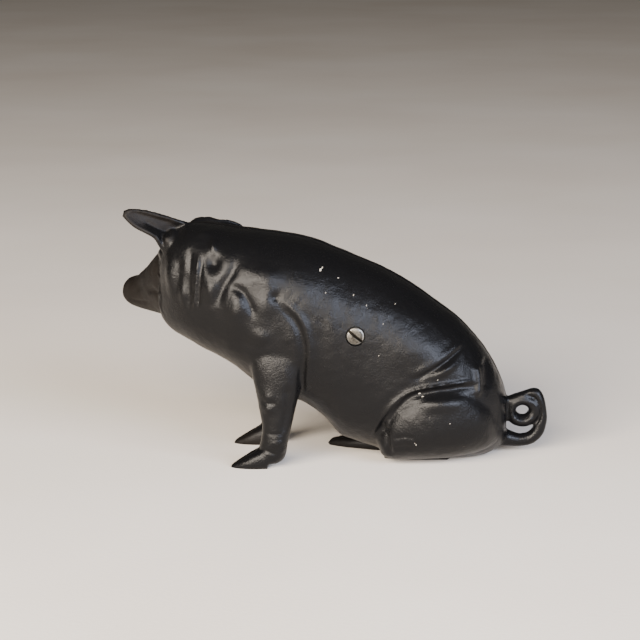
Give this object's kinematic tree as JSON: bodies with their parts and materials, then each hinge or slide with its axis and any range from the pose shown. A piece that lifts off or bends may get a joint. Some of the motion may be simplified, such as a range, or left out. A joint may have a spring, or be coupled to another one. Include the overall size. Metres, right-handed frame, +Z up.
{
  "type": "seated pig counter figure",
  "caption": "Hollow cast-iron seated pig, black enamelled, in half shells held together by a long slotted screw through the flank.",
  "frame": {"origin": "middle of the figure's bounding box, on the surface it stands on", "axes": "+X from snout to tail, +Y from the pig's left side to its right side, +Z up"},
  "size_m": [0.2836, 0.1148, 0.1654],
  "materials": {
    "black_enamel": "satin black enamel over sand-cast iron",
    "worn_black_enamel": "satin black enamel, worn brownish on the face and feet",
    "bright_steel": "turned and sawn, unpainted"
  },
  "bodies": {
    "shells": {"left_half": "black_enamel", "right_half": "worn_black_enamel"},
    "screw": {"clamp_screw": "bright_steel"}
  },
  "joints": [
    {"name": "screw_turn", "type": "hinge", "parent": "shells", "child": "screw", "pos_m": [0.0142, -0.0504, 0.0885], "axis": [0, -1, 0], "range_deg": [0, 360]}
  ]
}
